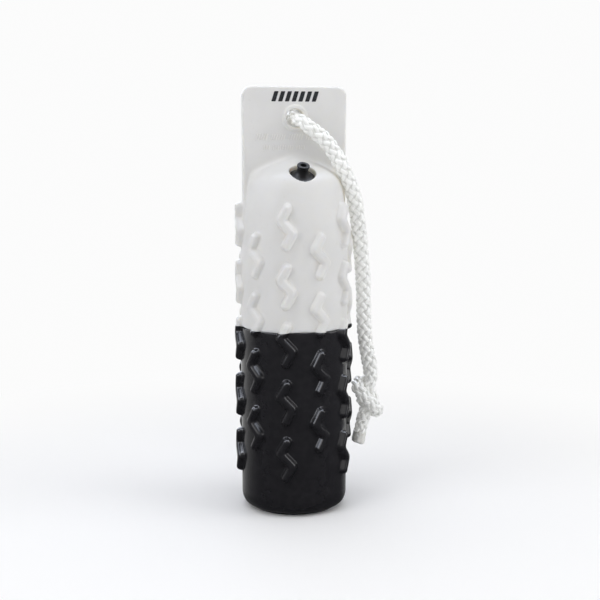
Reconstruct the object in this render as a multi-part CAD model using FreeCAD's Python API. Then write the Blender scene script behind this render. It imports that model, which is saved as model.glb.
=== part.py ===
import FreeCAD, Part
import math
import os

# Training bumper with a throw rope, millimetres. The origin is the centre of the flat foot,
# with +Z up the bumper's axis. The throwing tab lies in the XZ plane. The inflation valve
# faces -Y, the front. The rope passes through the tab, hangs in front and leads off to +X.

V = FreeCAD.Vector
ORIGIN, X_AXIS, Z_AXIS = V(0, 0, 0), V(1, 0, 0), V(0, 0, 1)
FRONT = V(0, -1, 0)

# ---- body ----
R_LOW = 37.9               # body radius at Z_LOW
R_HIGH = 38.7              # body radius at Z_HIGH
Z_LOW = 11.0               # top of the rounded lower edge
Z_HIGH = 176.0             # bottom of the dome
FOOT_R = 30.6
FOOT_H = 2.0
FOOT_CHAMFER = 0.8
FOOT_STEP = 0.9            # from the foot's wall out to the rounded lower edge
WALL = 3.5
CROWN_Z = 254.7
# dome outline between the crown and Z_HIGH: (radius, z)
DOME = [(12.9, 251.5), (25.1, 246.3), (31.5, 241.0), (34.1, 234.6),
        (35.8, 225.9), (37.3, 211.5), (38.3, 193.7)]
DOME_START = V(1, 0, -0.05)                                 # tangent at the crown
DOME_END = V((R_HIGH - R_LOW) / (Z_HIGH - Z_LOW), 0, -1)    # tangent at Z_HIGH
INSET_SPANS = 14           # spans sampled along the dome to move it inwards

# ---- dipped coat ----
COAT_T = 0.5
COAT_TOP = 134.0           # level colour line

# ---- throwing tab ----
TOTAL_H = 305.0            # foot to top of tab
TAB_W_TOP = 76.0
TAB_W_LOW = 74.6
TAB_T = 5.6
TAB_CORNER = 7.0
TAB_BASE_Z = 196.0         # bottom of the tab, inside the body
TAB_BASE_CORNER = 0.5
TAB_FLARE_Z = 262.0        # the sides widen above here
TAB_FLARE_R = 60.0
TAB_RIM_FILLET = 1.2
HOLE_Z = 282.8
HOLE_R = 6.5
BOSS_R = 9.3
BOSS_H = 1.2
BOSS_FILLET = 0.8

# ---- grip treads ----
TREAD_H = 3.8              # above the body
TREAD_COLUMNS = 10
TREAD_FIRST_DEG = -21.5    # first column, from -Y round +Z
TREAD_PITCH = 41.2         # between bars in a column
TREAD_TOP_Z = 207.7        # centre of the highest bar
TREAD_Z_EVEN = [TREAD_TOP_Z - TREAD_PITCH * i for i in range(5)]
TREAD_Z_ODD = [TREAD_TOP_Z - TREAD_PITCH * (i + 0.5) for i in range(4)]
# half the plan of one zigzag bar: (along the girth, up, corner radius);
# the other half is this one turned half a turn about the centre
TREAD_HALF_PLAN = [(-0.6, 16.6, 1.1), (3.5, 14.0, 1.3), (-0.9, 5.0, 0.8), (7.5, -3.9, 1.6)]
TREAD_HALF_H = 18.0        # a little more than half a bar's height
TREAD_TOP_FILLET = 0.9
TREAD_ROOT_R = 34.6        # inner face of a bar, within the body wall
TREAD_ROOT_R_DOME = 33.4   # the same for bars centred above TREAD_DOME_Z
TREAD_DOME_Z = 200.0

# ---- valve; heights are along its axis ----
VALVE_CENTRE = V(0, -24.6, 244.7)      # on the axis, in the pocket's mouth
VALVE_TILT = 30.0                      # from +Z towards -Y
POCKET_R = 9.8
POCKET_FLOOR = -2.6
CUP_WALL = 2.4                         # wall round the pocket
CUP_FLOOR = 3.0                        # wall under the pocket
VALVE_CUT_H = 30.0                     # carries the pocket and cup out past the dome
VALVE_BORE_R = 3.5
VALVE_BORE_DEPTH = 12.0                # below the pocket floor
SEAT_R = 9.4
PLUG_BORE_R = 0.9
# outlines: (radius, height above the pocket floor)
SEAT_OUTLINE = [(3.2, 0.02), (SEAT_R, 0.02), (SEAT_R, 1.3), (8.2, 1.9), (6.6, 2.6), (5.0, 4.0),
                (4.3, 5.4), (4.0, 7.2), (2.2, 7.2), (2.2, -11.0), (3.2, -11.0)]
PLUG_OUTLINE = [(PLUG_BORE_R, 7.9), (2.0, 8.9), (4.2, 9.0), (4.75, 8.5), (4.7, 7.9),
                (4.2, 7.25), (2.15, 7.25), (2.15, -11.05), (4.2, -11.3), (5.6, -13.0),
                (4.4, -16.5), (2.4, -18.0), (PLUG_BORE_R, -18.0)]

# ---- rope ----
ROPE_R = 5.2
# hinge points down the hanging cord, from the tab hole to the end knot
HINGES = [V(0, -10.8, HOLE_Z), V(17.6, -13.2, 268.8), V(31.2, -13.4, 250.4),
          V(41.4, -9.9, 229.8), V(47.7, -4.6, 208.1), V(50.8, -0.6, 185.8),
          V(52.2, 1.2, 163.0), V(53.4, 1.7, 140.3), V(55.5, 2.1, 117.4), V(59.6, 3.0, 95.5)]
# from each hinge point to the cord ends beside it: wider at the two upper bends,
# none where the last link enters the end knot
HINGE_GAPS = [2.4, 1.7] + [0.8] * 7 + [0.0]

STOPPER_Y = TAB_T / 2 + BOSS_H + 8.0   # front face of the knot behind the tab
STOPPER_LEN = 28.0
STOPPER_R = 11.8
BACK_END_LEN = 11.0                    # cut end of the cord beyond the stopper knot
# (radius, distance behind the front face)
STOPPER_OUTLINE = [(0, 0), (6.6, 0), (10.0, 2.6), (STOPPER_R, 7.0),
                   (STOPPER_R, STOPPER_LEN - 7.5), (9.6, STOPPER_LEN - 3.0),
                   (5.6, STOPPER_LEN), (0, STOPPER_LEN)]
BACK_END_OUTLINE = [(0, 0), (ROPE_R, 0), (ROPE_R, BACK_END_LEN - 4.0),
                    (5.5, BACK_END_LEN - 2.4), (4.6, BACK_END_LEN - 0.7), (0, BACK_END_LEN)]

END_KNOT_CENTRE = V(57.6, 4.0, 76.6)
END_KNOT_AXIS = V(0.16, -0.03, 1)
END_KNOT_R = 11.4
END_KNOT_HALF = 15.4
# (radius, height as a fraction of END_KNOT_HALF)
END_KNOT_OUTLINE = [(0, -1), (5.4, -1), (8.4, -0.78), (END_KNOT_R, -0.35),
                    (END_KNOT_R, 0.35), (8.4, 0.78), (5.4, 1), (0, 1)]

TAIL_TOP = V(54.6, 4.2, 60.0)          # hinge point of the tail under the knot
TAIL_END = V(50.6, 4.4, 41.0)
TAIL_DIR = (TAIL_END - TAIL_TOP).normalize()
TAIL_GAP = 1.2
TIP_LEN = 6.0
TIP_OUTLINE = [(0, 0), (ROPE_R, 0), (5.5, 2.0), (5.3, 4.4), (4.0, 5.7), (0, TIP_LEN)]


# ---- helpers ----
def save(shape, name):
    assert shape.isValid(), name
    shape.exportStep("parts/" + name + ".step")


def largest(shape):
    return max(shape.Solids, key=lambda solid: solid.Volume)


def lines(points):
    """Straight edges joining the points in turn."""
    return [Part.makeLine(a, b) for a, b in zip(points, points[1:])]


def revolve(edges):
    """A closed outline in the XZ plane, turned round +Z."""
    return Part.Face(Part.Wire(edges)).revolve(ORIGIN, Z_AXIS, 360)


def turned(outline, base=0.0):
    """A solid turned from a closed list of (radius, height above base)."""
    points = [V(radius, 0, base + height) for radius, height in outline]
    return revolve(lines(points + points[:1]))


def rounded_polygon(points, radii):
    """A closed wire through the points with an arc at each corner."""
    arcs = []
    for i, corner in enumerate(points):
        to_last = (points[i - 1] - corner).normalize()
        to_next = (points[(i + 1) % len(points)] - corner).normalize()
        half_angle = to_last.getAngle(to_next) / 2
        bisector = (to_last + to_next).normalize()
        setback = radii[i] / math.tan(half_angle)
        centre = corner + bisector * (radii[i] / math.sin(half_angle))
        arcs.append((corner + to_last * setback, centre - bisector * radii[i],
                     corner + to_next * setback))
    edges = []
    for i, (start, middle, end) in enumerate(arcs):
        edges.append(Part.Arc(start, middle, end).toShape())
        edges.append(Part.makeLine(end, arcs[(i + 1) % len(arcs)][0]))
    return Part.Wire(edges)


def about_valve(shape):
    """Put a shape built about +Z at the origin on the valve's axis."""
    shape.rotate(ORIGIN, X_AXIS, VALVE_TILT)
    shape.translate(VALVE_CENTRE)
    return shape


def valve_cylinder(radius, height, base):
    return about_valve(Part.makeCylinder(radius, height, V(0, 0, base)))


# ---- body surfaces, shared by the shell and the coat ----
def spline(points):
    curve = Part.BSplineCurve()
    curve.interpolate(Points=points, InitialTangent=DOME_START, FinalTangent=DOME_END)
    return curve


def outer_dome():
    """Half the dome's outline, from the crown down to Z_HIGH."""
    return spline([V(0, 0, CROWN_Z)] + [V(r, 0, z) for r, z in DOME] + [V(R_HIGH, 0, Z_HIGH)])


def inner_dome():
    """The dome's outline moved inwards by the wall."""
    outer = outer_dome()
    first, last = outer.FirstParameter, outer.LastParameter
    points = []
    for i in range(INSET_SPANS + 1):
        at = first + (last - first) * i / INSET_SPANS
        along = outer.tangent(at)[0]
        points.append(outer.value(at) + V(along.z, 0, -along.x) * WALL)
    points[0] = V(0, 0, points[0].z)
    points[-1] = V(points[-1].x, 0, Z_HIGH)
    return spline(points)


def body_blank(grow, z_base):
    """The solid body; a grown one is larger by grow and stops flat below the dome."""
    foot_r = FOOT_R + grow
    edge_r = foot_r + FOOT_STEP
    edge_z = FOOT_H - grow
    low_r = R_LOW + grow
    edge_start = V(edge_r, 0, edge_z)
    edge_middle = V(edge_r + (low_r - edge_r) * 0.74, 0, edge_z + (Z_LOW - edge_z) * 0.30)
    edge_end = V(low_r, 0, Z_LOW)
    side_top = V(R_HIGH + grow, 0, Z_HIGH)
    base = V(0, 0, z_base)

    edges = lines([base, V(foot_r - FOOT_CHAMFER, 0, z_base),
                   V(foot_r, 0, z_base + FOOT_CHAMFER),
                   V(foot_r, 0, FOOT_H - grow * 0.4), edge_start])
    edges.append(Part.Arc(edge_start, edge_middle, edge_end).toShape())
    edges += lines([edge_end, side_top])
    if grow:
        edges += lines([side_top, V(0, 0, Z_HIGH), base])
    else:
        edges.append(outer_dome().toShape())
        edges += lines([V(0, 0, CROWN_Z), base])
    return revolve(edges)


def tread(z, angle, grow):
    """One zigzag bar, flat on top with rounded top edges, turned by angle from -Y."""
    half = [V(x, 0, up) for x, up, _ in TREAD_HALF_PLAN]
    radii = [radius for _, _, radius in TREAD_HALF_PLAN]
    wire = rounded_polygon(half + [p * -1 for p in half], radii * 2)
    if grow:
        wire = wire.makeOffset2D(grow)
    body_r = R_LOW + (R_HIGH - R_LOW) * (z - Z_LOW) / (Z_HIGH - Z_LOW)
    top = min(body_r, R_HIGH) + TREAD_H + grow
    root = TREAD_ROOT_R if z < TREAD_DOME_Z else TREAD_ROOT_R_DOME
    face = Part.Face(wire)
    face.translate(FRONT * root)
    bar = face.extrude(FRONT * (top - root))
    rim = [e for e in bar.Edges if all(abs(v.Point.y + top) < 1e-6 for v in e.Vertexes)]
    bar = bar.makeFillet(TREAD_TOP_FILLET, rim)
    bar.translate(V(0, 0, z))
    bar.rotate(ORIGIN, Z_AXIS, angle)
    return bar


def treads(grow=0, z_limit=math.inf):
    """The bars that reach below z_limit; odd columns are staggered by half a pitch."""
    bars = []
    for column in range(TREAD_COLUMNS):
        angle = TREAD_FIRST_DEG + 360.0 / TREAD_COLUMNS * column
        for z in TREAD_Z_ODD if column % 2 else TREAD_Z_EVEN:
            if z - TREAD_HALF_H < z_limit:
                bars.append(tread(z, angle, grow))
    return bars


# ---- body shell: one hollow moulding ----
def throwing_tab():
    """Slightly tapered plate with round top corners and a rounded rim."""
    top, low = TAB_W_TOP / 2, TAB_W_LOW / 2
    corners = [V(-low, 0, TAB_BASE_Z), V(low, 0, TAB_BASE_Z), V(low, 0, TAB_FLARE_Z),
               V(top, 0, TOTAL_H), V(-top, 0, TOTAL_H), V(-low, 0, TAB_FLARE_Z)]
    radii = [TAB_BASE_CORNER, TAB_BASE_CORNER, TAB_FLARE_R,
             TAB_CORNER, TAB_CORNER, TAB_FLARE_R]
    face = Part.Face(rounded_polygon(corners, radii))
    face.translate(V(0, TAB_T / 2, 0))
    plate = face.extrude(FRONT * TAB_T)
    rim = [e for e in plate.Edges
           if e.BoundBox.YLength < 1e-6 and e.BoundBox.ZMin > TAB_BASE_Z + 0.2]
    return plate.makeFillet(TAB_RIM_FILLET, rim)


def hole_boss():
    """Disc round the rope hole, proud of both faces of the tab."""
    back = V(0, TAB_T / 2 + BOSS_H, HOLE_Z)
    boss = Part.makeCylinder(BOSS_R, TAB_T + 2 * BOSS_H, back, FRONT)
    return boss.makeFillet(BOSS_FILLET, [e for e in boss.Edges if e.BoundBox.YLength < 1e-6])


def body_cavity():
    """The hollow inside, less a cup of wall round the valve pocket."""
    side_r = R_LOW - WALL
    floor_z = COAT_T + WALL
    floor_edge = V(side_r - 7.0, 0, floor_z)
    side_low = V(side_r, 0, Z_LOW + 1.0)
    dome = inner_dome()
    edges = lines([V(0, 0, floor_z), floor_edge])
    edges.append(Part.Arc(floor_edge, V(side_r - 1.8, 0, floor_z + 2.6), side_low).toShape())
    edges += lines([side_low, V(dome.value(dome.LastParameter).x, 0, Z_HIGH)])
    edges.append(dome.toShape())
    edges += lines([V(0, 0, dome.value(dome.FirstParameter).z), V(0, 0, floor_z)])
    cup = valve_cylinder(POCKET_R + CUP_WALL, VALVE_CUT_H, POCKET_FLOOR - CUP_FLOOR)
    return revolve(edges).cut(cup)


def body_shell():
    pocket = valve_cylinder(POCKET_R, VALVE_CUT_H, POCKET_FLOOR)
    bore = valve_cylinder(VALVE_BORE_R, VALVE_BORE_DEPTH + 2.0, POCKET_FLOOR - VALVE_BORE_DEPTH)
    rope_hole = Part.makeCylinder(HOLE_R, 20.0, V(0, 10.0, HOLE_Z), FRONT)
    shell = body_blank(0, COAT_T).fuse([throwing_tab(), hole_boss()] + treads())
    shell = shell.cut(body_cavity())
    shell = shell.cut(pocket.fuse(bore))
    return largest(shell.cut(rope_hole))


def dipped_coat():
    """A thin skin over the lower part of the body and its treads."""
    z_limit = COAT_TOP + 2.0
    grown = body_blank(COAT_T, 0.0).fuse(treads(COAT_T, z_limit))
    coat = grown.common(Part.makeCylinder(60.0, COAT_TOP + 5.0, V(0, 0, -5.0)))
    bare = body_blank(0, COAT_T).fuse(treads(0, z_limit))
    return largest(coat.cut(bare))


# ---- rope pieces ----
def rope_neck():
    """Cord through the tab hole, with a round front end."""
    end = HINGES[0] + V(0, HINGE_GAPS[0] + ROPE_R, 0)
    bar = Part.makeCylinder(ROPE_R, STOPPER_Y - end.y, V(0, STOPPER_Y, HOLE_Z), FRONT)
    return bar.fuse(Part.makeSphere(ROPE_R, end)).removeSplitter()


def turned_backwards(outline, y_front):
    """A solid turned about the rope hole's axis, running back (+Y) from y_front."""
    solid = turned(outline)
    solid.rotate(ORIGIN, X_AXIS, -90)
    solid.translate(V(0, y_front, HOLE_Z))
    return solid


def rope_link(i):
    """Cord with round ends between hinge points i and i + 1."""
    start, end = HINGES[i], HINGES[i + 1]
    along = (end - start).normalize()
    first = start + along * (HINGE_GAPS[i] + ROPE_R)
    last = end - along * (HINGE_GAPS[i + 1] + ROPE_R)
    bar = Part.makeCylinder(ROPE_R, (last - first).Length, first, along)
    balls = [Part.makeSphere(ROPE_R, first), Part.makeSphere(ROPE_R, last)]
    return bar.fuse(balls).removeSplitter()


def end_knot(last_link):
    """Overhand knot near the free end, hollowed where the last link enters."""
    knot = turned([(radius, END_KNOT_HALF * part) for radius, part in END_KNOT_OUTLINE])
    turn = FreeCAD.Rotation(Z_AXIS, END_KNOT_AXIS)
    knot.Placement = FreeCAD.Placement(END_KNOT_CENTRE, turn)
    return largest(knot.cut(last_link))


def rope_tail():
    start = TAIL_TOP + TAIL_DIR * (TAIL_GAP + ROPE_R)
    length = (TAIL_END - start).Length - TIP_LEN
    bar = Part.makeCylinder(ROPE_R, length, start, TAIL_DIR)
    return bar.fuse(Part.makeSphere(ROPE_R, start)).removeSplitter()


def rope_tip():
    """Melted, sealed end of the tail."""
    tip = turned(TIP_OUTLINE)
    turn = FreeCAD.Rotation(Z_AXIS, TAIL_DIR)
    tip.Placement = FreeCAD.Placement(TAIL_END - TAIL_DIR * TIP_LEN, turn)
    return tip


os.makedirs("parts", exist_ok=True)
save(body_shell(), "body_shell")
save(dipped_coat(), "dipped_coat")
save(about_valve(turned(SEAT_OUTLINE, POCKET_FLOOR)), "valve_seat")
save(about_valve(turned(PLUG_OUTLINE, POCKET_FLOOR)), "valve_plug")
save(rope_neck(), "rope_neck")
save(turned_backwards(STOPPER_OUTLINE, STOPPER_Y), "stopper_knot")
save(turned_backwards(BACK_END_OUTLINE, STOPPER_Y + STOPPER_LEN), "rope_back_end")
links = [rope_link(i) for i in range(len(HINGES) - 1)]
for i, link in enumerate(links):
    save(link, "rope_link_%02d" % (i + 1))
save(end_knot(links[-1]), "end_knot")
save(rope_tail(), "rope_tail")
save(rope_tip(), "rope_tip")
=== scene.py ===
"""A throw bumper standing upright on its base, with z up and its front facing -y.

The white vinyl body carries ten columns of zigzag bars and ends above in a dome and a flat tab
with a hole. The lower part is dipped in black vinyl and a rubber valve sits in the front of the
dome. A braided rope passes through the hole: its stopper knot is behind the tab (+y), and its
long end hangs down at the right (+x) to an end knot and a short tail.
Lengths are in millimetres unless a comment says otherwise; MM turns them into metres.
"""
import bpy
import bmesh
import math
import numpy as np
from mathutils import Vector, Matrix
from mathutils.geometry import delaunay_2d_cdt


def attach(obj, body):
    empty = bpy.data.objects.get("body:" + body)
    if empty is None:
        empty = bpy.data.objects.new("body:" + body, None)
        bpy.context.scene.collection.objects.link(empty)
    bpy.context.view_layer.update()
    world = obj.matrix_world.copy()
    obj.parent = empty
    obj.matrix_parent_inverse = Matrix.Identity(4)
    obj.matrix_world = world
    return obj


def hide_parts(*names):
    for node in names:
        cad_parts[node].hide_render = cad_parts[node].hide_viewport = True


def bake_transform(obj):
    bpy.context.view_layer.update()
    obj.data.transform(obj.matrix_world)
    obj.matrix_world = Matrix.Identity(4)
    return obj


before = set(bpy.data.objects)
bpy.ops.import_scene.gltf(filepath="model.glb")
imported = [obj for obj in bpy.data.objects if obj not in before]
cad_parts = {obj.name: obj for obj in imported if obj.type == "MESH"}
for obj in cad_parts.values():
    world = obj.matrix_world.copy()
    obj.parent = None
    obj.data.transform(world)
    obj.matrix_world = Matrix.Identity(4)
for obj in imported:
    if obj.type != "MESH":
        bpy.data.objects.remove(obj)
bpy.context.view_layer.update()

MM = 0.001

# ---------------------------------------------------------------- driving sizes
R_LOW, Z_LOW = 37.9, 11.0           # body radius at the foot of the straight wall
R_HIGH, Z_HIGH = 38.7, 176.0        # and where the dome begins
CROWN_Z, TOTAL_H = 254.7, 305.0     # top of the dome, top of the tab
# dome outline: radius, z
DOME = [
    (0, CROWN_Z), (12.9, 251.5), (25.1, 246.3), (31.5, 241.0), (34.1, 234.6),
    (35.8, 225.9), (37.3, 211.5), (38.3, 193.7), (R_HIGH, Z_HIGH),
]
COAT_TOP, COAT_THICK = 134.0, 0.42
HOLE_Z = 282.8                      # centre of the tab's hole
TAB_HALF_THICK = 2.8
TREAD_H = 3.8                       # height of a bar above the wall
COLS = 10
COL_STEP = 360 / COLS               # degrees
COL_HALF = COL_STEP / 2
COL0 = -21.5                        # middle of the first column, degrees from the front
TREAD_TOP, TREAD_PITCH = 207.7, 41.2
# bar centres in even columns, and half a pitch lower in odd ones
TREAD_Z = [
    [round(TREAD_TOP - TREAD_PITCH * row, 1) for row in range(5)],
    [round(TREAD_TOP - TREAD_PITCH * (row + 0.5), 1) for row in range(4)],
]
FLAT_R = 38.3                       # radius at which a column is unrolled flat
CUT_Z = 226.0                       # the barrel's mesh meets the dome's mesh here
VALVE_CENTRE = np.array([0.0, -24.6, 244.7])
VALVE_TILT = math.radians(30.0)     # leans to the front
VALVE_AXIS = np.array([0, -math.sin(VALVE_TILT), math.cos(VALVE_TILT)])
VALVE_CROSS = np.array([0, math.cos(VALVE_TILT), math.sin(VALVE_TILT)])
CAMERA_AZIMUTH = math.radians(-14.0)


# ---------------------------------------------------------------- small helpers
def new_object(name, verts, faces, mat, smooth=True):
    mesh = bpy.data.meshes.new(name)
    points = [tuple(v) for v in np.asarray(verts, float) * MM]
    mesh.from_pydata(points, [], [tuple(int(i) for i in face) for face in faces])
    mesh.validate()
    mesh.update()
    ob = bpy.data.objects.new(name, mesh)
    bpy.context.scene.collection.objects.link(ob)
    mesh.materials.append(mat)
    mesh.polygons.foreach_set("use_smooth", [smooth] * len(mesh.polygons))
    return ob


def tidy(ob, weld=None):
    """Welds vertices closer than `weld`, if given, and turns all faces outward."""
    bm = bmesh.new()
    bm.from_mesh(ob.data)
    if weld is not None:
        bmesh.ops.remove_doubles(bm, verts=bm.verts, dist=weld * MM)
    bmesh.ops.recalc_face_normals(bm, faces=bm.faces)
    bm.to_mesh(ob.data)
    bm.free()
    ob.data.update()


def join(parts):
    """One (vertices, faces) pair out of several."""
    verts, faces, base = [], [], 0
    for part_verts, part_faces in parts:
        verts.append(part_verts)
        faces += [[int(i) + base for i in face] for face in part_faces]
        base += len(part_verts)
    return np.vstack(verts), faces


def compact(verts, faces):
    """Only the vertices in use, the renumbered faces, and the new number of each vertex."""
    used = np.unique(faces)
    number = np.full(len(verts), -1)
    number[used] = np.arange(len(used))
    return verts[used], number[faces].tolist(), number


def index_rows(count, size, start=0):
    return (np.arange(count * size).reshape(count, size) + start).tolist()


def bands(rows, flip=False):
    """Quads between neighbouring closed rows of vertex numbers."""
    faces = []
    for a, b in zip(rows[:-1], rows[1:]):
        for i in range(len(a)):
            j = (i + 1) % len(a)
            faces.append([a[i], b[i], b[j], a[j]] if flip else [a[i], a[j], b[j], b[i]])
    return faces


def polar(r, theta, z):
    """Points at an angle theta that starts at the front and grows to the right."""
    return np.stack(np.broadcast_arrays(r * np.sin(theta), -r * np.cos(theta), z), -1)


def angle_of(p):
    return math.atan2(p[0], -p[1])


def half_turn(degrees):
    """The same angle within -180 to 180."""
    return (degrees + 180) % 360 - 180


def unit(v):
    return np.asarray(v, float) / np.linalg.norm(v)


def unit_rows(v):
    return v / np.linalg.norm(v, axis=1)[:, None]


def spline(points, start_dir, end_dir, steps):
    """Smooth curve through the points, `steps` to a span, with the given end directions."""
    P = np.asarray(points, float)
    n = len(P)
    gap = np.linalg.norm(np.diff(P, axis=0), axis=1)
    system = np.zeros((n, n))
    rhs = np.zeros_like(P)
    system[0, 0] = system[-1, -1] = 1
    rhs[0], rhs[-1] = unit(start_dir), unit(end_dir)
    for i in range(1, n - 1):
        before, after = gap[i - 1], gap[i]
        system[i, i - 1:i + 2] = after, 2 * (before + after), before
        rhs[i] = 3 * (after * (P[i] - P[i - 1]) / before + before * (P[i + 1] - P[i]) / after)
    slope = np.linalg.solve(system, rhs)
    out = []
    for i in range(n - 1):
        for k in range(steps):
            t = k / steps
            out.append((2 * t**3 - 3 * t**2 + 1) * P[i]
                       + (t**3 - 2 * t**2 + t) * gap[i] * slope[i]
                       + (-2 * t**3 + 3 * t**2) * P[i + 1]
                       + (t**3 - t**2) * gap[i] * slope[i + 1])
    out.append(P[-1])
    return np.array(out)


def smooth_min(a, b, width):
    h = np.clip(0.5 + 0.5 * (b - a) / width, 0, 1)
    return b * (1 - h) + a * h - width * h * (1 - h)


def smooth_max(a, b, width):
    return -smooth_min(-a, -b, width)


def ease(t):
    t = np.clip(t, 0, 1)
    return t * t * (3 - 2 * t)


def rounded_corner(a, b, radius):
    """Signed distance where two sides meet in a round, from the distances past each side."""
    a, b = a + radius, b + radius
    return np.hypot(np.maximum(a, 0), np.maximum(b, 0)) + np.minimum(np.maximum(a, b), 0) - radius


def rounded(corners, steps):
    """Closed polygon of (x, y, corner radius) points with its corners rounded."""
    P = [np.array(c[:2], float) for c in corners]
    out = []
    for i, p in enumerate(P):
        a, b = P[i - 1], P[(i + 1) % len(P)]
        len_a, len_b = np.linalg.norm(a - p), np.linalg.norm(b - p)
        d = min(corners[i][2], len_a * 0.48, len_b * 0.48)
        start, end = p + (a - p) / len_a * d, p + (b - p) / len_b * d
        for k in range(steps + 1):
            t = k / steps
            out.append(tuple((1 - t) ** 2 * start + 2 * t * (1 - t) * p + t * t * end))
    return out


# ---------------------------------------------------------------- body outline and distances
dome_line = spline(DOME, (1, -0.05), (-0.005, -1), 28)
dome_z, dome_r = dome_line[::-1, 1], dome_line[::-1, 0]


def body_radius(z):
    z = np.asarray(z, float)
    wall = R_LOW + (R_HIGH - R_LOW) * (z - Z_LOW) / (Z_HIGH - Z_LOW)
    return np.where(z > Z_HIGH, np.interp(z, dome_z, dome_r), wall)


GRID_STEP = 0.2
GRID_R = np.arange(0, 48.01, GRID_STEP)
GRID_Z = np.arange(184, 262.01, GRID_STEP)


def body_table():
    """Signed distance to the body's outline on the (radius, z) grid, negative inside."""
    wall_z = 150.0
    line = np.vstack([dome_line, [[body_radius(wall_z), wall_z]]])
    starts = line[:-1]
    spans = line[1:] - starts
    squares = (spans * spans).sum(1)
    rr, zz = np.meshgrid(GRID_R, GRID_Z, indexing="ij")
    grid = np.stack([rr.ravel(), zz.ravel()], 1)
    best = np.full(len(grid), 1e9)
    batch = 40
    for i in range(0, len(starts), batch):
        span = spans[i:i + batch]
        v = grid[:, None, :] - starts[i:i + batch][None]
        t = np.clip((v * span[None]).sum(2) / squares[i:i + batch][None], 0, 1)
        w = v - t[..., None] * span[None]
        best = np.minimum(best, (w * w).sum(2).min(1))
    best = np.sqrt(best)
    inside = (grid[:, 1] < CROWN_Z) & (grid[:, 0] < body_radius(grid[:, 1]))
    return np.where(inside, -best, best).reshape(rr.shape)


TABLE = body_table()


def body_distance(p):
    """The table read between its grid points."""
    u = (np.hypot(p[..., 0], p[..., 1]) - GRID_R[0]) / GRID_STEP
    v = (p[..., 2] - GRID_Z[0]) / GRID_STEP
    u = np.clip(u, 0, TABLE.shape[0] - 1.001)
    v = np.clip(v, 0, TABLE.shape[1] - 1.001)
    i, j = u.astype(int), v.astype(int)
    fu, fv = u - i, v - j
    return (TABLE[i, j] * (1 - fu) * (1 - fv) + TABLE[i + 1, j] * fu * (1 - fv)
            + TABLE[i, j + 1] * (1 - fu) * fv + TABLE[i + 1, j + 1] * fu * fv)


def tab_distance(p):
    corner_r, edge_r = 7.0, 1.25
    x, y, z = np.abs(p[..., 0]), np.abs(p[..., 1]), p[..., 2]
    half_width = 37.75 + 0.4 * ease((z - 258) / 47)
    outline = rounded_corner(x - half_width, z - TOTAL_H, corner_r)
    return rounded_corner(outline, y - TAB_HALF_THICK, edge_r)


def body_tab_distance(p):
    # the fillet tightens toward the tab's sides
    fillet = 1.0 + 3.6 * ease((37.5 - np.abs(p[..., 0])) / 7.0)
    return smooth_min(body_distance(p), tab_distance(p), fillet)


def top_distance(p):
    """Body and tab with the bossed rope hole and the valve pocket."""
    from_hole = np.hypot(p[..., 0], p[..., 2] - HOLE_Z)
    boss = rounded_corner(from_hole - 9.3, np.abs(p[..., 1]) - 4.0, 0.9)
    d = smooth_min(body_tab_distance(p), boss, 0.7)
    d = smooth_max(d, 6.5 - from_hole, 1.1)
    v = p - VALVE_CENTRE
    along = v[..., 1] * VALVE_AXIS[1] + v[..., 2] * VALVE_AXIS[2]
    cross = v[..., 1] * VALVE_CROSS[1] + v[..., 2] * VALVE_CROSS[2]
    pocket = rounded_corner(np.hypot(v[..., 0], cross) - 9.45, -4.3 - along, 0.8)
    return smooth_max(d, -pocket, 0.8)


def top_gradient(p):
    reach = 0.05
    g = np.zeros_like(p)
    for k in range(3):
        o = np.zeros(3)
        o[k] = reach
        g[..., k] = (top_distance(p + o) - top_distance(p - o)) / (2 * reach)
    return g


def surface_nets(field, origin, step):
    """Points and quads of the zero surface of a field sampled on a grid."""
    inside = field < 0
    nx, ny, nz = field.shape
    count = np.zeros((nx - 1, ny - 1, nz - 1), np.int8)
    for i in (0, 1):
        for j in (0, 1):
            for k in (0, 1):
                count += inside[i:nx - 1 + i, j:ny - 1 + j, k:nz - 1 + k]
    active = (count > 0) & (count < 8)
    number = np.full(active.shape, -1, np.int64)
    cells = np.argwhere(active)
    number[active] = np.arange(len(cells))
    # each cell's point is the mean of the crossings on its edges
    points = np.zeros((len(cells), 3))
    weight = np.zeros(len(cells))
    others = [[k for k in range(3) if k != axis] for axis in range(3)]
    for axis in range(3):
        edge = np.zeros(3, int)
        edge[axis] = 1
        for u in (0, 1):
            for v in (0, 1):
                a = np.zeros(3, int)
                a[others[axis]] = u, v
                fa, fb = field[tuple((cells + a).T)], field[tuple((cells + a + edge).T)]
                m = (fa < 0) != (fb < 0)
                t = np.where(m, fa / np.where(m, fa - fb, 1), 0)
                points[m] += (a + t[:, None] * edge)[m]
                weight[m] += 1
    points = (cells + points / weight[:, None]) * step + origin
    # each crossed grid edge gives a quad between the four cells round it
    quads = []
    for axis in range(3):
        low, high = [slice(None)] * 3, [slice(None)] * 3
        low[axis], high[axis] = slice(0, -1), slice(1, None)
        crossed = np.argwhere(inside[tuple(low)] != inside[tuple(high)])
        ok = np.ones(len(crossed), bool)
        for k in others[axis]:
            ok &= (crossed[:, k] > 0) & (crossed[:, k] < field.shape[k] - 1)
        crossed = crossed[ok]
        flip = ~inside[tuple(low)][tuple(crossed.T)]
        if axis == 1:
            flip = ~flip
        quad = []
        for shift in ((0, 0), (-1, 0), (-1, -1), (0, -1)):
            m = crossed.copy()
            m[:, others[axis]] += shift
            quad.append(number[tuple(m.T)])
        quad = np.stack(quad, 1)
        quad[flip] = quad[flip][:, ::-1]
        quads.append(quad)
    return points, np.vstack(quads)


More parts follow.
